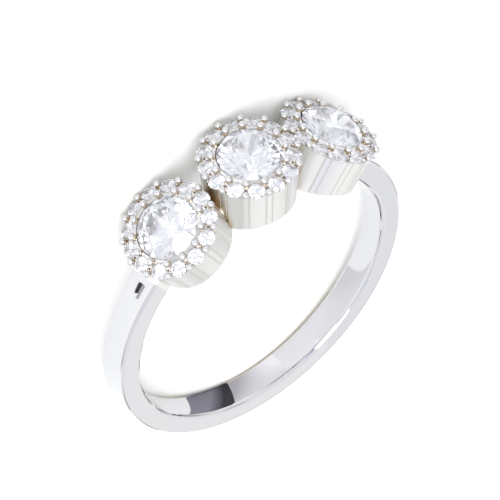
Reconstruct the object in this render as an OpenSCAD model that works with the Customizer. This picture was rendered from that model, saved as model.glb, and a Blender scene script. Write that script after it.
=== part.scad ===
// Three stone ring: a plain polished band carries three round heads in a row.
// Each head holds one large round stone inside a halo of small ones, with beads
// of metal raised between the stones and a stem under each outer bead.
// The ring lies on its side. X runs along the row of heads, Y from the bottom of
// the band to the middle head, and Z up from the surface that the ring lies on.

/* [Finger] */
// Inside diameter of the band
bore_d = 17.2; // [14:0.1:22]

/* [Band] */
// Width of the band along the finger
band_w = 1.9; // [1.4:0.05:2.6]
// Thickness of the band at the bottom, opposite the heads
band_base_t = 1.25; // [0.9:0.05:1.8]
// Thickness of the band where it meets the side heads
band_shoulder_t = 1.45; // [0.9:0.05:2]
// Rounding of the band's two outer edges
band_edge_r = 0.24; // [0.1:0.02:0.4]
// Rounding of the two edges of the bore
bore_edge_r = 0.24; // [0.1:0.02:0.3]

/* [Heads] */
// Height of the middle stone's girdle over the inside of the band
centre_rise = 3.23; // [2.6:0.01:4]
// Height of a side stone's girdle over the inside of the band
side_rise = 2.83; // [2.4:0.01:3.8]
// Space between the halos of two neighbouring heads, measured in line
halo_space = 0.2; // [0.05:0.01:0.6]
// Slope of the halo's top face, down and away from the large stone
halo_slope = 18; // [8:1:24]
// How far the head's wall stands outside the ring of halo stone centres
wall_out = 0.34; // [0.28:0.01:0.42]
// How much narrower the wall's radius is at the inside of the band
wall_taper = 0.22; // [0:0.01:0.4]
// Diameter of the open gallery hole below each large stone
gallery_d = 3; // [1.5:0.1:3.2]

/* [Stems and beads] */
// Width of the stem below each outer bead
stem_w = 0.37; // [0.2:0.01:0.5]
// Width of the fine groove on either side of a stem
groove_w = 0.1; // [0.06:0.01:0.14]
// How far the outer beads stand outside the ring of halo stone centres
bead_out = 0.3; // [0.2:0.01:0.4]
// How far the inner beads stand inside the ring of halo stone centres
bead_in = 0.38; // [0.3:0.01:0.42]
// Height of the bead centres over the halo's top face
bead_rise = 0.13; // [0.05:0.01:0.16]
// Clearance between a bead and the stones beside it
bead_gap = 0.03; // [0.03:0.005:0.06]
// Diameter of the drilled pit between two halo stones
pit_d = 0.14; // [0.08:0.01:0.14]
// Depth of the drilled pit below the halo's top face
pit_depth = 0.45; // [0.1:0.05:0.8]

/* [Stones] */
// Diameter of a large stone
main_d = 3.7; // [3.2:0.1:4.4]
// Diameter of a halo stone
halo_d = 0.95; // [0.75:0.05:1.15]
// Space between a large stone and its halo stones, seen from above
main_space = 0.2; // [0.15:0.01:0.3]
// Least space between two neighbouring halo stones
halo_pitch_space = 0.24; // [0.24:0.01:0.4]
// Clearance between a stone and its seat in the metal
seat_gap = 0.02; // [0.01:0.005:0.025]

/* [Cut] */
// Width of the table as a share of the stone's diameter
table_share = 0.56; // [0.5:0.01:0.64]
// Height of the crown as a share of the stone's diameter
crown_share = 0.15; // [0.1:0.005:0.18]
// Depth of the pavilion as a share of the stone's diameter
pavilion_share = 0.43; // [0.4:0.005:0.45]
// Thickness of the girdle as a share of the stone's diameter
girdle_share = 0.03; // [0.02:0.005:0.05]

/* [Hidden] */
$fn = 96;
fine = 32;

silver = "gainsboro";
clear_stone = "lavender";

bore_r = bore_d / 2;
centre_at = bore_r + centre_rise;
side_at = bore_r + side_rise;

// The halo: as many stones as fit, set so that one faces the front of the ring.
halo_reach = halo_d / 2 * cos(halo_slope);
halo_r = main_d / 2 + main_space + halo_reach;
halo_n = floor(180 / asin((halo_d + halo_pitch_space) / 2 / halo_r));
halo_step = 360 / halo_n;
halo_first = -90;

// Side heads stand where their halos clear the middle one by halo_space.
head_reach = halo_r + halo_reach;
head_pitch = 2 * head_reach + halo_space;
head_angle = acos((centre_at ^ 2 + side_at ^ 2 - head_pitch ^ 2) / (2 * centre_at * side_at));

// A head's top face is level with the large girdle at rim_r and slopes down outwards.
rim_r = main_d / 2 + seat_gap;
wall_top_r = halo_r + wall_out;
wall_base_r = wall_top_r - wall_taper;
function face_z(r) = (rim_r - r) * tan(halo_slope);
wall_top_z = face_z(wall_top_r);
stem_turn = asin(stem_w / 2 / wall_top_r);

// A bead is as large as its clearance from the nearest girdle edges allows. The
// girdle of a halo stone leans with the sloping face.
function clear_of_halo(r, z) =
    let (to_bead = [r * cos(halo_step / 2) - halo_r, r * sin(halo_step / 2), z - face_z(halo_r)],
         axis = [sin(halo_slope), 0, cos(halo_slope)],
         up = to_bead * axis)
    norm([norm(to_bead - up * axis) - halo_d / 2, max(abs(up) - halo_d * girdle_share / 2, 0)]);
outer_bead_at = halo_r + bead_out;
outer_bead_z = face_z(outer_bead_at) + bead_rise;
outer_bead_r = clear_of_halo(outer_bead_at, outer_bead_z) - bead_gap;
inner_bead_at = halo_r - bead_in;
inner_bead_z = face_z(inner_bead_at) + bead_rise;
inner_bead_r = min(clear_of_halo(inner_bead_at, inner_bead_z), inner_bead_at - main_d / 2)
             - bead_gap;
pit_at = (inner_bead_at + inner_bead_r + outer_bead_at - outer_bead_r) / 2;

// The band's outside is a circle set off towards the heads, so that it thickens.
shoulder_angle = head_angle + asin(wall_base_r / bore_r);
band_offset = (band_shoulder_t - band_base_t) / (1 + cos(shoulder_angle));
band_r = bore_r + band_base_t + band_offset;

// The ring tips until the lowest bead of a head and the rounded edge at the band's
// foot touch the surface: each is a circle in the plane across the row of heads.
foot_ahead = -(bore_r + band_base_t - band_edge_r);
foot_below = band_w / 2 - band_edge_r;
bead_below = outer_bead_at * cos(halo_n % 2 == 1 ? 0 : halo_step / 2);
function tip(ahead) = asin((outer_bead_r - band_edge_r)
                           / norm([ahead - foot_ahead, bead_below - foot_below]))
                    + atan((bead_below - foot_below) / (ahead - foot_ahead));
rest_tilt = max(tip(centre_at + outer_bead_z), tip((side_at + outer_bead_z) * cos(head_angle)));
rest_lift = foot_below * cos(rest_tilt) - foot_ahead * sin(rest_tilt) + band_edge_r;

// The model is centred over its own length, from the band's foot to the middle stone.
table_r = main_d * table_share / 2;
front_end = (centre_at + main_d * (crown_share + girdle_share / 2)) * cos(rest_tilt)
          + table_r * sin(rest_tilt);
back_end = foot_ahead * cos(rest_tilt) - foot_below * sin(rest_tilt) - band_edge_r;
rest_shift = -(front_end + back_end) / 2;

// Lays the upright ring, whose finger axis is Z, down on its side.
module at_rest() {
    translate([0, rest_shift, rest_lift]) rotate([rest_tilt, 0, 0]) children();
}

// A head's own frame: Z points away from the finger and Z = 0 is the large girdle.
module head_frame(rise, turn) {
    rotate([0, 0, -turn]) translate([0, bore_r + rise, 0]) rotate([-90, 0, 0]) children();
}

// Places a copy at each halo stone, or between two stones with an offset of 0.5.
module around_halo(r, offset = 0) {
    for (i = [0 : halo_n - 1]) rotate([0, 0, halo_first + (i + offset) * halo_step])
        translate([r, 0, 0]) children();
}

// The same, with each copy standing square on the sloping top face.
module on_slope(r, offset = 0) {
    around_halo(r, offset) translate([0, 0, face_z(r)]) rotate([0, halo_slope, 0]) children();
}

function arc_points(c, r, from, to, steps = 5) =
    [for (i = [0 : steps]) let (a = from + (to - from) * i / steps) c + r * [cos(a), sin(a)]];

// The band as a disc with the bore's edges rounded. The finger's bore opens it later.
module band() {
    across = band_w / 2 - band_edge_r;
    difference() {
        translate([0, band_offset, 0]) rotate_extrude()
            polygon(concat([[0, -band_w / 2]],
                arc_points([band_r - band_edge_r, -across], band_edge_r, -90, 0),
                arc_points([band_r - band_edge_r, across], band_edge_r, 0, 90),
                [[0, band_w / 2]]));
        for (side = [0, 180]) rotate([side, 0, 0]) bore_edge();
    }
}

// What the rounding takes off the upper edge of the bore.
module bore_edge() {
    r = bore_r + bore_edge_r;
    height = band_w / 2 - bore_edge_r;
    rotate_extrude() polygon(concat([[0, height]],
        arc_points([r, height], bore_edge_r, 180, 90), [[r, band_w], [0, band_w]]));
}

// A head, solid down to below the finger's surface, with the stems marked off by grooves.
module head_body(rise) {
    depth = rise + wall_base_r ^ 2 / bore_r;
    lean = atan(wall_taper / (rise + wall_top_z));
    foot_r = wall_top_r - (depth + wall_top_z) * tan(lean);
    difference() {
        rotate_extrude() polygon([[0, -depth], [foot_r, -depth], [wall_top_r, wall_top_z],
                                  [rim_r, 0], [0, 0]]);
        for (side = [-1, 1]) rotate([0, 0, side * stem_turn]) around_halo(wall_top_r, 0.5)
            translate([0, 0, wall_top_z]) rotate([0, lean, 0]) translate([0, 0, -2 * depth])
                cylinder(h = 3 * depth, d = groove_w, $fn = fine);
    }
}

// The hole that a stone sits in: the stone's lower half with its clearance all round.
module seat(d) {
    r = d / 2 + seat_gap;
    girdle = d * girdle_share;
    depth = d * pavilion_share * r / (d / 2);
    translate([0, 0, -girdle / 2 - depth]) cylinder(h = depth, r1 = 0, r2 = r);
    translate([0, 0, -girdle / 2]) cylinder(h = girdle + seat_gap, r = r);
}

module head_cuts(rise) {
    below = rise + bore_r / 2;
    seat(main_d);
    translate([0, 0, -below]) cylinder(h = below, d = gallery_d);
    on_slope(halo_r) seat(halo_d, $fn = fine);
    on_slope(pit_at, 0.5) translate([0, 0, -pit_depth])
        cylinder(h = 2 * pit_depth, d = pit_d, $fn = fine);
}

module beads() {
    around_halo(outer_bead_at, 0.5) translate([0, 0, outer_bead_z])
        sphere(r = outer_bead_r, $fn = fine);
    around_halo(inner_bead_at, 0.5) translate([0, 0, inner_bead_z])
        sphere(r = inner_bead_r, $fn = fine);
}

// A round brilliant with 57 facets. Z = 0 is the middle of its girdle.
module brilliant(d) {
    r = d / 2;
    table = r * table_share;
    half_girdle = d * girdle_share / 2;
    crown = d * crown_share;
    pavilion = d * pavilion_share;
    // The tips of the star facets and of the lower halves lie on the main facets.
    star = (r + table * cos(22.5)) / 2;
    star_z = half_girdle + crown * (r - star * cos(22.5)) / (r - table);
    lower = r / 4;
    lower_z = -half_girdle - pavilion * (1 - lower * cos(22.5) / r);
    function ring(n, radius, z, first = 0) =
        [for (k = [0 : n - 1]) [radius * cos(first + k * 360 / n), radius * sin(first + k * 360 / n), z]];
    points = concat(
        ring(8, table, half_girdle + crown),
        ring(8, star, star_z, 22.5),
        ring(16, r, half_girdle),
        ring(16, r, -half_girdle),
        ring(8, lower, lower_z, 22.5),
        [[0, 0, -half_girdle - pavilion]]);
    function t(k) = k % 8;
    function s(k) = 8 + (k + 8) % 8;
    function g(k) = 16 + (k + 16) % 16;
    function b(k) = 32 + (k + 16) % 16;
    function p(k) = 48 + (k + 8) % 8;
    culet = 56;
    faces = concat(
        [[for (k = [7 : -1 : 0]) t(k)]],
        [for (k = [0 : 7]) each [
            [t(k), t(k + 1), s(k)],
            [t(k), s(k), g(2 * k)],
            [t(k), g(2 * k), s(k - 1)],
            [s(k), g(2 * k + 1), g(2 * k)],
            [s(k), g(2 * k + 2), g(2 * k + 1)],
            [b(2 * k), b(2 * k + 1), p(k)],
            [b(2 * k + 1), b(2 * k + 2), p(k)],
            [b(2 * k), p(k), culet],
            [b(2 * k), culet, p(k - 1)]]],
        [for (k = [0 : 15]) each [
            [g(k), g(k + 1), b(k)],
            [g(k + 1), b(k + 1), b(k)]]]);
    polyhedron(points, faces);
}

module main_stone(rise, turn) {
    color(clear_stone) at_rest() head_frame(rise, turn) brilliant(main_d);
}

module halo_stones(rise, turn) {
    color(clear_stone) at_rest() head_frame(rise, turn)
        on_slope(halo_r) brilliant(halo_d);
}

// The band and the three heads, soldered into one piece of metal.
module ring_mount() {
    color(silver) at_rest() {
        difference() {
            union() {
                band();
                head_frame(side_rise, -head_angle) head_body(side_rise);
                head_frame(centre_rise, 0) head_body(centre_rise);
                head_frame(side_rise, head_angle) head_body(side_rise);
            }
            head_frame(side_rise, -head_angle) head_cuts(side_rise);
            head_frame(centre_rise, 0) head_cuts(centre_rise);
            head_frame(side_rise, head_angle) head_cuts(side_rise);
            cylinder(h = 4 * head_reach, r = bore_r, center = true);
        }
        head_frame(side_rise, -head_angle) beads();
        head_frame(centre_rise, 0) beads();
        head_frame(side_rise, head_angle) beads();
    }
}

module left_stone() { main_stone(side_rise, -head_angle); }
module centre_stone() { main_stone(centre_rise, 0); }
module right_stone() { main_stone(side_rise, head_angle); }
module left_halo_stones() { halo_stones(side_rise, -head_angle); }
module centre_halo_stones() { halo_stones(centre_rise, 0); }
module right_halo_stones() { halo_stones(side_rise, head_angle); }

ring_mount();
left_stone();
centre_stone();
right_stone();
left_halo_stones();
centre_halo_stones();
right_halo_stones();
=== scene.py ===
"""Three stone ring, dressed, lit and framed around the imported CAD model.

The ring lies on its side on a pale floor. X runs along the row of heads, Y from
the foot of the band to the middle head and Z up. Sizes are written in
millimetres and turned to metres where a mesh or a light is made.
"""

import logging
import math
from dataclasses import dataclass, field
from enum import Enum

import bpy
from mathutils import Matrix, Vector

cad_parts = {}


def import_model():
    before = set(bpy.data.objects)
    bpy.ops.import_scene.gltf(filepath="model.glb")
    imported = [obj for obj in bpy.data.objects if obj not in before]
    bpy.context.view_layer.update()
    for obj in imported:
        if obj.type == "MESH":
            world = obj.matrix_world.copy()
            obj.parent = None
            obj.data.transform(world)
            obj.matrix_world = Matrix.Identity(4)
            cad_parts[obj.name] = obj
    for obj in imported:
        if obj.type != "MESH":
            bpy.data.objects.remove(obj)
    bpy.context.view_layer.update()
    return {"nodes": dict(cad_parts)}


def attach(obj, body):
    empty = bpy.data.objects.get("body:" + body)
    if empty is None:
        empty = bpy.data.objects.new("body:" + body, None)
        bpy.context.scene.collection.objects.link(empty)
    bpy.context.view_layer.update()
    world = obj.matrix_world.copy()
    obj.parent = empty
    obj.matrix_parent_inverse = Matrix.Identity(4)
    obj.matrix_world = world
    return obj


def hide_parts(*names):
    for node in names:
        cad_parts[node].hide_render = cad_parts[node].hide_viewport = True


LOG = logging.getLogger("three_stone_ring")
MM = 0.001
# Light between two polished walls or inside a stone is followed until it's faint.
LIGHT_BOUNCES = 20
GLOSS_BOUNCES = 12


# ---------------------------------------------------------------- small helpers


def linear(hex_colour: str) -> tuple[float, float, float, float]:
    """Turn an sRGB hex colour into the linear colour that Blender's nodes take.

    Args:
        hex_colour: Six hex digits, such as "e6e6ea".

    Returns:
        Linear red, green and blue, with alpha 1.
    """
    parts = [int(hex_colour[i : i + 2], 16) / 255 for i in (0, 2, 4)]
    red, green, blue = [
        c / 12.92 if c <= 0.04045 else ((c + 0.055) / 1.055) ** 2.4 for c in parts
    ]
    return red, green, blue, 1.0


def add_node(tree: bpy.types.NodeTree, kind: str, settings: dict | None = None,
             inputs: dict | None = None) -> bpy.types.Node:
    """Add one shader node.

    Args:
        tree: The node tree that gets the node.
        kind: The node's type name.
        settings: Attributes of the node to set.
        inputs: Input name or index to a value, or to the output that feeds it.

    Returns:
        The new node.
    """
    node = tree.nodes.new(kind)
    for name, value in (settings or {}).items():
        setattr(node, name, value)
    for name, value in (inputs or {}).items():
        if isinstance(value, bpy.types.NodeSocket):
            tree.links.new(value, node.inputs[name])
        else:
            node.inputs[name].default_value = value
    return node


def new_tree(owner: bpy.types.Material | bpy.types.World) -> bpy.types.NodeTree:
    """Give a material or world an empty node tree, and return it."""
    owner.use_nodes = True
    owner.node_tree.nodes.clear()
    return owner.node_tree


def deselect_all() -> None:
    """Leave object mode's selection empty, so that an operator acts on one piece."""
    for obj in bpy.context.selected_objects:
        obj.select_set(False)


def across(angle: float, radius: float, height: float) -> Vector:
    """Give a point by its angle about Z in degrees, its distance from Z and its height."""
    turn = math.radians(angle)
    return Vector((radius * math.cos(turn), radius * math.sin(turn), height))


def direction(azimuth: float, elevation: float) -> Vector:
    """Give the unit vector that points to an azimuth and elevation, in degrees."""
    height = math.radians(elevation)
    return across(azimuth, math.cos(height), math.sin(height))


def blend(tree: bpy.types.NodeTree, share: bpy.types.NodeSocket,
          first: str | bpy.types.NodeSocket,
          last: str | bpy.types.NodeSocket) -> bpy.types.NodeSocket:
    """Add a node that runs from one colour to another.

    Args:
        tree: The node tree that gets the node.
        share: 0 for the first colour and 1 for the last.
        first: The colour at 0, as hex or as another node's output.
        last: The colour at 1, as hex or as another node's output.

    Returns:
        The output that carries the colour.
    """
    node = add_node(tree, "ShaderNodeMix", {"data_type": "RGBA"}, {"Factor": share})
    ends = [socket for socket in node.inputs if socket.type == "RGBA"]
    for socket, colour in zip(ends, (first, last)):
        if isinstance(colour, str):
            socket.default_value = linear(colour)
        else:
            tree.links.new(colour, socket)
    return next(socket for socket in node.outputs if socket.type == "RGBA")


def ramp(tree: bpy.types.NodeTree, value: bpy.types.NodeSocket, start: float, end: float,
         low: float = 0.0, high: float = 1.0, smooth: bool = True) -> bpy.types.NodeSocket:
    """Add a node that runs from one number to another while a value goes from start to end.

    Args:
        tree: The node tree that gets the node.
        value: The output that drives it.
        start: The value where the result is low.
        end: The value where the result is high.
        low: The result at start and below it.
        high: The result at end and beyond it.
        smooth: Whether it eases in and out.

    Returns:
        The output that carries the number.
    """
    kind = "SMOOTHSTEP" if smooth else "LINEAR"
    node = add_node(tree, "ShaderNodeMapRange", {"interpolation_type": kind}, {
        "Value": value, "From Min": start, "From Max": end, "To Min": low, "To Max": high})
    return node.outputs["Result"]


def maths(tree: bpy.types.NodeTree, operation: str, *values: float | bpy.types.NodeSocket
          ) -> bpy.types.NodeSocket:
    """Add a sum between numbers or outputs, and return the output that carries its result."""
    node = add_node(tree, "ShaderNodeMath", {"operation": operation}, dict(enumerate(values)))
    return node.outputs["Value"]


def dress(obj: bpy.types.Object, material: bpy.types.Material) -> None:
    """Give a piece one material in place of all that it has."""
    obj.data.materials.clear()
    obj.data.materials.append(material)


# ---------------------------------------------------------------- finishes


@dataclass(frozen=True)
class Axis:
    """The middle line of a head: the middle of its stone's girdle and its way out."""

    middle: Vector
    out: Vector


@dataclass(frozen=True)
class RhodiumPlatedSilver:
    """Sterling silver under a bright rhodium plate.

    A soft wheel polishes the band and the beads, which mirror the room sharply. It
    doesn't reach the fluted walls of the heads, which keep a softer tone. The corners
    between the beads and in the walls are painted a darker, warmer colour where the
    ambient occlusion finds them: painted shade. Sizes are in millimetres.
    """

    colour: str = "cfcfd1"
    roughness: float = 0.045
    haze_size: float = 2.2
    haze_detail: float = 2.0
    haze_clear: float = 0.3
    haze_full: float = 0.7
    clear_share: float = 0.8
    hazy_share: float = 1.3
    flute_colour: str = "e0e0de"
    flute_roughness: float = 0.3
    # Painted shade: the darker, warmer colours that the metal takes in its corners.
    corner_shade_colour: str = "d6c8b0"
    flute_shade_colour: str = "d2c6b2"
    corner_reach: float = 0.5
    corner_samples: int = 8
    corner_deep: float = 0.15
    corner_open: float = 0.85
    wall_radius: float = 2.95
    wall_top: float = -0.36
    wall_foot: float = -4.0
    blur: float = 0.1

    def material(self, heads: list[Axis]) -> bpy.types.Material:
        """Build the metal's material.

        Args:
            heads: The heads' middle lines.

        Returns:
            The material.
        """
        material = bpy.data.materials.new("rhodium_plated_silver")
        tree = new_tree(material)
        where = add_node(tree, "ShaderNodeTexCoord").outputs["Object"]
        wall = self.wall_share(tree, where, heads)
        # Hand polishing leaves the gloss a little uneven over a few millimetres.
        haze = add_node(tree, "ShaderNodeTexNoise", {}, {
            "Vector": where, "Scale": 1 / (self.haze_size * MM), "Detail": self.haze_detail})
        gloss = ramp(tree, haze.outputs["Fac"], self.haze_clear, self.haze_full,
                     self.roughness * self.clear_share, self.roughness * self.hazy_share,
                     smooth=False)
        dulled = maths(tree, "MULTIPLY", wall, self.flute_roughness)
        roughness = maths(tree, "MAXIMUM", gloss, dulled)
        # Painted shade: where the ambient occlusion finds a corner, between the beads and in the
        # grooves, the metal is painted darker and warmer.
        corner = add_node(tree, "ShaderNodeAmbientOcclusion", {"samples": self.corner_samples}, {
            "Distance": self.corner_reach * MM})
        unshaded = ramp(tree, corner.outputs["AO"], self.corner_deep, self.corner_open)
        painted_shade = blend(tree, wall, self.corner_shade_colour, self.flute_shade_colour)
        bright = blend(tree, wall, self.colour, self.flute_colour)
        metal = add_node(tree, "ShaderNodeBsdfPrincipled", {}, {
            "Base Color": blend(tree, unshaded, painted_shade, bright), "Metallic": 1.0,
            "Roughness": roughness})
        add_node(tree, "ShaderNodeOutputMaterial", {}, {"Surface": metal.outputs["BSDF"]})
        return material

    def wall_share(self, tree: bpy.types.NodeTree, where: bpy.types.NodeSocket,
                   heads: list[Axis]) -> bpy.types.NodeSocket:
        """Tell the heads' walls, under their beads, from all the rest.

        Args:
            tree: The material's node tree.
            where: The output that carries the place on the piece.
            heads: The heads' middle lines.

        Returns:
            The output that is 1 on a wall and 0 elsewhere.
        """
        share = None
        for head in heads:
            place = add_node(tree, "ShaderNodeVectorMath", {"operation": "SUBTRACT"}, {
                0: where, 1: head.middle}).outputs["Vector"]
            height = add_node(tree, "ShaderNodeVectorMath", {"operation": "DOT_PRODUCT"}, {
                0: place, 1: head.out}).outputs["Value"]
            aside = add_node(tree, "ShaderNodeVectorMath", {"operation": "CROSS_PRODUCT"}, {
                0: place, 1: head.out}).outputs["Vector"]
            radius = add_node(tree, "ShaderNodeVectorMath", {"operation": "LENGTH"}, {
                0: aside}).outputs["Value"]
            within = ramp(tree, radius, self.wall_radius * MM, (self.wall_radius + self.blur) * MM,
                          1.0, 0.0)
            below = ramp(tree, height, (self.wall_top - self.blur) * MM, self.wall_top * MM,
                         1.0, 0.0)
            above = ramp(tree, height, (self.wall_foot - self.blur) * MM, self.wall_foot * MM)
            this = maths(tree, "MULTIPLY", maths(tree, "MULTIPLY", within, below), above)
            share = this if share is None else maths(tree, "MAXIMUM", share, this)
        return share


@dataclass(frozen=True)
class CubicZirconia:
    """Colourless cubic zirconia, cut and polished to flat, sharp facets.

    It bends light far more than glass does, so its facets flash light and dark. The
    share that isn't clear is what the worn edges of its facets scatter.
    """

    colour: str = "e6e8ef"
    ior: float = 2.15
    clarity: float = 0.9
    roughness: float = 0.04

    def material(self) -> bpy.types.Material:
        """Build the stone's material.

        Returns:
            The material.
        """
        material = bpy.data.materials.new("cubic_zirconia")
        tree = new_tree(material)
        stone = add_node(tree, "ShaderNodeBsdfPrincipled", {}, {
            "Base Color": linear(self.colour), "IOR": self.ior, "Roughness": self.roughness,
            "Transmission Weight": self.clarity})
        add_node(tree, "ShaderNodeOutputMaterial", {}, {"Surface": stone.outputs["BSDF"]})
        return material


@dataclass(frozen=True)
class MattePaper:
    """The white paper sweep that the ring lies on."""

    colour: str = "f7f8f6"
    roughness: float = 0.9

    def material(self) -> bpy.types.Material:
        """Build the paper's material.

        Returns:
            The material.
        """
        material = bpy.data.materials.new("white_paper")
        tree = new_tree(material)
        paper = add_node(tree, "ShaderNodeBsdfPrincipled", {}, {
            "Base Color": linear(self.colour), "Roughness": self.roughness})
        add_node(tree, "ShaderNodeOutputMaterial", {}, {"Surface": paper.outputs["BSDF"]})
        return material


@dataclass(frozen=True)
class CardFace:
    """The matt face of a studio card, which may fade from one grey to another."""

    colour: str
    fades_to: str
    fade_from: tuple[float, float] = (0.0, 0.0)
    fade_until: tuple[float, float] = (1.0, 0.0)
    roughness: float = 1.0

    def material(self) -> bpy.types.Material:
        """Build the card's material.

        Returns:
            The material.
        """
        material = bpy.data.materials.new("card_face")
        tree = new_tree(material)
        where = add_node(tree, "ShaderNodeTexCoord")
        start, end = (Vector((*point, 0.0)) * MM for point in (self.fade_from, self.fade_until))
        way = end - start
        along = add_node(tree, "ShaderNodeVectorMath", {"operation": "DOT_PRODUCT"}, {
            0: where.outputs["Object"], 1: way})
        share = ramp(tree, along.outputs["Value"], start.dot(way), end.dot(way), smooth=False)
        colour = blend(tree, share, self.colour, self.fades_to)
        felt = add_node(tree, "ShaderNodeBsdfPrincipled", {}, {
            "Base Color": colour, "Roughness": self.roughness})
        add_node(tree, "ShaderNodeOutputMaterial", {}, {"Surface": felt.outputs["BSDF"]})
        return material


# ---------------------------------------------------------------- the ring


class Head(Enum):
    """The three heads of the ring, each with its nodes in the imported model."""

    LEFT = "left"
    CENTRE = "centre"
    RIGHT = "right"

    @property
    def stone_node(self) -> str:
        """Name of the node that holds the large stone."""
        return f"{self.value}_stone"

    @property
    def halo_node(self) -> str:
        """Name of the node that holds the small stones."""
        return f"{self.value}_halo_stones"


@dataclass
class Mount:
    """The band and the heads, one piece of metal."""

    nodes: dict[str, bpy.types.Object]
    finish: RhodiumPlatedSilver = field(default_factory=RhodiumPlatedSilver)

    def build(self, heads: list[Axis]) -> None:
        """Dress the metal.

        Args:
            heads: The heads' middle lines.
        """
        dress(self.nodes["ring_mount"], self.finish.material(heads))
        LOG.info("ring_mount: %s", type(self.finish).__name__)


@dataclass(frozen=True)
class RoundBrilliant:
    """A round brilliant of 57 facets: its diameter in millimetres, and its parts' shares.

    The table, crown, pavilion and girdle are shares of the diameter, and the stars and
    the lower halves reach over their share of the crown and of the pavilion.
    """

    diameter: float = 3.7
    table_share: float = 0.56
    crown_share: float = 0.15
    pavilion_share: float = 0.43
    girdle_share: float = 0.03
    star_share: float = 0.5
    lower_share: float = 0.75
    mains: int = 8
    girdle_sides: int = 96
    sliver: float = 1e-7

    def planes(self) -> list[tuple[Vector, Vector]]:
        """Work out the planes that the facets are ground on.

        Returns:
            For each facet, a point on it and its outward normal, in millimetres.
        """
        radius = self.diameter / 2
        table = radius * self.table_share
        girdle = self.diameter * self.girdle_share / 2
        crown = self.diameter * self.crown_share
        pavilion = self.diameter * self.pavilion_share
        half = 180.0 / self.mains
        inner = table * math.cos(math.radians(half))
        star = table + (radius - table) * self.star_share
        star_z = girdle + crown * (radius - star * math.cos(math.radians(half))) / (radius - table)
        lower = radius * (1 - self.lower_share)
        lower_z = -girdle - pavilion * (1 - lower * math.cos(math.radians(half)) / radius)
        cuts = []
        for k in range(self.mains):
            angle = k * 2 * half
            # The main facets of the crown and the pavilion, then the star facet.
            cuts.append((across(angle, radius, girdle), across(angle, crown, radius - table)))
            cuts.append((across(angle, radius, -girdle), across(angle, pavilion, -radius)))
            cuts.append((across(angle + half, star, star_z),
                         across(angle + half, girdle + crown - star_z, star - inner)))
            for side in (-1, 1):
                # The two halves of the crown and of the pavilion that meet at this main facet.
                corner = angle + side * half
                ends = [across(angle, radius, girdle), across(corner, radius, girdle)]
                tip = across(corner, star, star_z)
                cuts.append((tip, side * (ends[1] - ends[0]).cross(tip - ends[0])))
                ends = [across(angle, radius, -girdle), across(corner, radius, -girdle)]
                tip = across(corner, lower, lower_z)
                cuts.append((tip, -side * (ends[1] - ends[0]).cross(tip - ends[0])))
        return cuts

    def cut(self, name: str) -> bpy.types.Object:
        """Grind a round blank to a brilliant that faces up, its girdle about the origin.

        Args:
            name: Name of the new object.

        Returns:
            The stone, in metres.
        """
        girdle = self.girdle_share / 2
        top, bottom = girdle + self.crown_share, -girdle - self.pavilion_share
        deselect_all()
        bpy.ops.mesh.primitive_cylinder_add(
            vertices=self.girdle_sides, radius=self.diameter / 2 * MM,
            depth=(top - bottom) * self.diameter * MM,
            location=(0, 0, (top + bottom) / 2 * self.diameter * MM))
        stone = bpy.context.object
        stone.name = name
        bpy.ops.object.transform_apply(location=True, rotation=True, scale=True)
        bpy.ops.object.mode_set(mode="EDIT")
        for point, normal in self.planes():
            bpy.ops.mesh.select_all(action="SELECT")
            bpy.ops.mesh.bisect(plane_co=point * MM, plane_no=normal.normalized(),
                                use_fill=True, clear_outer=True, threshold=self.sliver)
        bpy.ops.object.mode_set(mode="OBJECT")
        return stone


@dataclass
class Stones:
    """The large stones and their halos."""

    nodes: dict[str, bpy.types.Object]
    finish: CubicZirconia = field(default_factory=CubicZirconia)
    brilliant: RoundBrilliant = field(default_factory=RoundBrilliant)
    level: float = 0.01

    def build(self) -> list[Axis]:
        """Cut the large stones and dress every stone.

        Returns:
            The heads' middle lines.
        """
        material = self.finish.material()
        heads = []
        for head in Head:
            dress(self.nodes[head.halo_node], material)
            seat = self.seat_of(self.nodes[head.stone_node])
            stone = self.brilliant.cut(f"{head.value}_brilliant")
            stone.matrix_world = seat
            bpy.ops.object.transform_apply(location=True, rotation=True, scale=True)
            dress(stone, material)
            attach(stone, "root")
            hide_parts(head.stone_node)
            heads.append(Axis(seat.translation, seat.col[2].to_3d()))
            LOG.info("%s: %d faces", stone.name, len(stone.data.polygons))
        return heads

    def seat_of(self, node: bpy.types.Object) -> Matrix:
        """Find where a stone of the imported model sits, and how it's turned.

        Args:
            node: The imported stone.

        Returns:
            The turn and place of the middle of its girdle, with Z out of its table.
        """
        mesh = node.data
        out = max(mesh.polygons, key=lambda face: face.area).normal.normalized()
        heights = [vertex.co.dot(out) for vertex in mesh.vertices]
        top = [vertex.co for vertex, height in zip(mesh.vertices, heights)
               if height > max(heights) - self.level * MM]
        middle = sum(top, Vector()) / len(top)
        toward_corner = (top[0] - middle).normalized()
        turn = Matrix((toward_corner, out.cross(toward_corner), out)).transposed()
        brilliant = self.brilliant
        drop = (brilliant.crown_share + brilliant.girdle_share / 2) * brilliant.diameter * MM
        return Matrix.Translation(middle - out * drop) @ turn.to_4x4()


# ---------------------------------------------------------------- the studio


@dataclass(frozen=True)
class Card:
    """A round card or opening in the light tent, by its direction and reach in degrees."""

    name: str
    azimuth: float
    elevation: float
    reach: float
    soft: float
    colour: str


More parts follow.
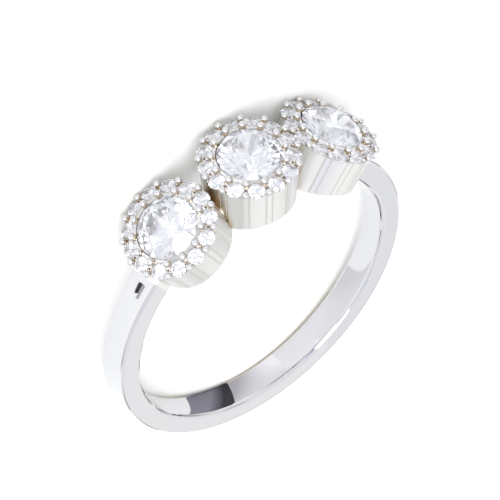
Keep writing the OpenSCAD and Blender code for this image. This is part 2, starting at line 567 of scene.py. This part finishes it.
@dataclass(frozen=True)
class Flag:
    """A small card on the floor, over it or leaning from it, by its corners in millimetres.

    It rises by its slope from its foot, which it passes through, towards its azimuth.
    """

    name: str
    face: CardFace
    corners: tuple[tuple[float, float], ...]
    foot: tuple[float, float] = (0.0, 0.0)
    azimuth: float = 0.0
    slope: float = 0.0
    clearance: float = 0.02

    def height(self, x: float, y: float) -> float:
        """Work out how high the card is over a point of the floor."""
        way = Vector((x - self.foot[0], y - self.foot[1], 0.0))
        return self.clearance + self.slope * way.dot(across(self.azimuth, 1.0, 0.0))

    def lay(self) -> None:
        """Make the card, which shows in reflections alone."""
        deselect_all()
        bpy.ops.mesh.primitive_circle_add(vertices=len(self.corners), radius=MM, fill_type="NGON")
        card = bpy.context.object
        card.name = self.name
        for vertex, (x, y) in zip(card.data.vertices, self.corners):
            vertex.co = Vector((x, y, self.height(x, y))) * MM
        dress(card, self.face.material())
        card.visible_camera = card.visible_diffuse = card.visible_shadow = False
        card.visible_transmission = False


@dataclass
class Studio:
    """A pale floor in a bright light tent, with one broad soft key light."""

    floor_size: float = 3000.0
    tent_colour: str = "f6f6f8"
    tent_strength: float = 1.23
    far_azimuth: float = 297.0
    far_start: float = -0.2
    far_end: float = 0.4
    far_foot: float = 0.575
    near_foot: float = 1.09
    foot_low: float = 3.0
    foot_high: float = 17.0
    cards: tuple[Card, ...] = (
        Card("lens_opening", 117.3, 35.7, 9.0, 3.0, "c4c8e4"),
        Card("lit_wall", 297.0, 24.0, 35.0, 20.0, "ffffff"),
        Card("grey_card", 30.0, 38.0, 11.0, 4.0, "c6c6ca"),
        Card("lilac_card", 215.0, 55.0, 14.0, 6.0, "dcdff6"),
    )
    # The first four lie in the finger hole and are mirrored inside the band, the next two
    # by its left shoulder, and the last hangs in the air for the band's front face. They
    # light and shade nothing and only reflections see them: painted reflections, where the
    # dark ones stand in for shade that the band would mirror and the pale ones for paler
    # surroundings.
    flags: tuple[Flag, ...] = (
        Flag("dark_flag", CardFace("a1a0aa", "45454a", (-2.4, -8.85), (-1.6, -9.1)),
             ((-4.8, -8.62), (-2.7, -8.2), (-0.65, -8.3), (-1.5, -9.85), (-4.6, -9.4)),
             foot=(-2.2, -9.7), azimuth=75.0, slope=0.8),
        Flag("lilac_flag", CardFace("b4b1b5", "fefefe", (0.22, -7.59), (1.6, -8.14)),
             ((-1.9, -9.6), (-1.0, -7.3), (0.9, -6.9), (1.5, -6.3), (1.85, -5.0), (1.85, -9.6))),
        Flag("pale_flag", CardFace("efefee", "efefee"),
             ((1.85, -9.6), (1.85, -5.0), (2.6, -6.3), (4.2, -8.6))),
        Flag("upper_flag", CardFace("dadada", "ededee", (3.96, -5.5), (3.35, -6.7)),
             ((1.9, -5.0), (2.6, -6.3), (4.2, -8.6), (6.4, -5.6), (3.3, -5.6))),
        Flag("shoulder_flag", CardFace("24242a", "24242a"),
             ((-12.0, 6.35), (-12.45, 6.65), (-12.85, 5.5), (-12.5, 5.15))),
        Flag("shoulder_card", CardFace("a8a8ac", "a8a8ac"),
             ((-12.45, 6.65), (-12.9, 6.7), (-13.3, 5.05), (-12.95, 4.85), (-12.85, 5.5))),
        Flag("face_card", CardFace("ececee", "ececee"),
             ((12.0, -42.4), (17.2, -39.15), (18.2, -35.5), (20.0, -28.3), (15.0, -19.0),
              (27.0, -19.0), (29.0, -32.0), (20.0, -46.0)), clearance=16.0),
    )
    key_power: float = 1.2
    key_size: float = 300.0
    key_distance: float = 420.0
    key_azimuth: float = 140.0
    key_elevation: float = 48.0

    def build(self) -> None:
        """Lay the floor and light it."""
        deselect_all()
        bpy.ops.mesh.primitive_plane_add(size=self.floor_size * MM)
        floor = bpy.context.object
        floor.name = "paper_floor"
        dress(floor, MattePaper().material())
        self.light_room()
        for flag in self.flags:
            flag.lay()
        self.hang_key()

    def light_room(self) -> None:
        """Surround the ring with the even white of a light tent and its cards."""
        world = bpy.data.worlds.new("light_tent")
        bpy.context.scene.world = world
        tree = new_tree(world)
        where = add_node(tree, "ShaderNodeTexCoord")
        looking = where.outputs["Generated"]
        # The foot of the tent's far wall, where it stands on the table, is its dimmest part.
        side = add_node(tree, "ShaderNodeVectorMath", {"operation": "DOT_PRODUCT"}, {
            0: looking, 1: across(self.far_azimuth, 1.0, 0.0)})
        foot = ramp(tree, side.outputs["Value"], self.far_start, self.far_end,
                    self.near_foot, self.far_foot)
        up = add_node(tree, "ShaderNodeSeparateXYZ", {}, {0: looking})
        height = ramp(tree, up.outputs["Z"], math.sin(math.radians(self.foot_low)),
                      math.sin(math.radians(self.foot_high)))
        lift = maths(tree, "SUBTRACT", self.tent_strength, foot)
        strength = maths(tree, "MULTIPLY_ADD", lift, height, foot)
        colour = self.tent_colour
        for card in self.cards:
            facing = add_node(tree, "ShaderNodeVectorMath", {"operation": "DOT_PRODUCT"}, {
                0: looking, 1: direction(card.azimuth, card.elevation)})
            facing.label = card.name
            edge, blur = math.radians(card.reach), math.radians(card.soft)
            cover = ramp(tree, facing.outputs["Value"], math.cos(edge + blur),
                         math.cos(max(edge - blur, 0.0)))
            colour = blend(tree, cover, colour, card.colour)
        room = add_node(tree, "ShaderNodeBackground", {}, {"Color": colour, "Strength": strength})
        add_node(tree, "ShaderNodeOutputWorld", {}, {"Surface": room.outputs["Background"]})

    def hang_key(self) -> None:
        """Hang the large soft light."""
        towards = direction(self.key_azimuth, self.key_elevation)
        lamp = bpy.data.lights.new("key_softbox", "AREA")
        lamp.energy = self.key_power
        lamp.size = self.key_size * MM
        key = bpy.data.objects.new("key_softbox", lamp)
        bpy.context.scene.collection.objects.link(key)
        key.matrix_world = (Matrix.Translation(towards * self.key_distance * MM)
                            @ towards.to_track_quat("Z", "Y").to_matrix().to_4x4())


@dataclass(frozen=True)
class PhotographCamera:
    """The camera, as the photograph was taken: where it stands and how it is turned."""

    position: tuple[float, float, float] = (-149.567, 292.211, 237.017)
    right: tuple[float, float, float] = (0.79115, -0.08265, 0.60601)
    up: tuple[float, float, float] = (0.48559, 0.68729, -0.54022)
    lens: float = 515.371
    sensor: float = 36.0
    clip_start: float = 10.0

    def build(self) -> None:
        """Set the camera up and make it the scene's own."""
        lens = bpy.data.cameras.new("photograph_camera")
        lens.lens = self.lens
        lens.sensor_width = self.sensor
        lens.clip_start = self.clip_start * MM
        camera = bpy.data.objects.new("photograph_camera", lens)
        bpy.context.scene.collection.objects.link(camera)
        right, up = Vector(self.right), Vector(self.up)
        turn = Matrix((right, up, right.cross(up))).transposed().to_4x4()
        camera.matrix_world = Matrix.Translation(Vector(self.position) * MM) @ turn
        bpy.context.scene.camera = camera


def main() -> None:
    """Dress the ring, light it and frame it."""
    logging.basicConfig(level=logging.INFO, format="%(name)s: %(message)s")
    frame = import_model()
    heads = Stones(frame["nodes"]).build()
    Mount(frame["nodes"]).build(heads)
    Studio().build()
    PhotographCamera().build()
    scene = bpy.context.scene
    scene.view_settings.view_transform = "Standard"
    scene.cycles.max_bounces = scene.cycles.transmission_bounces = LIGHT_BOUNCES
    scene.cycles.glossy_bounces = GLOSS_BOUNCES


if __name__ == "__main__":
    main()
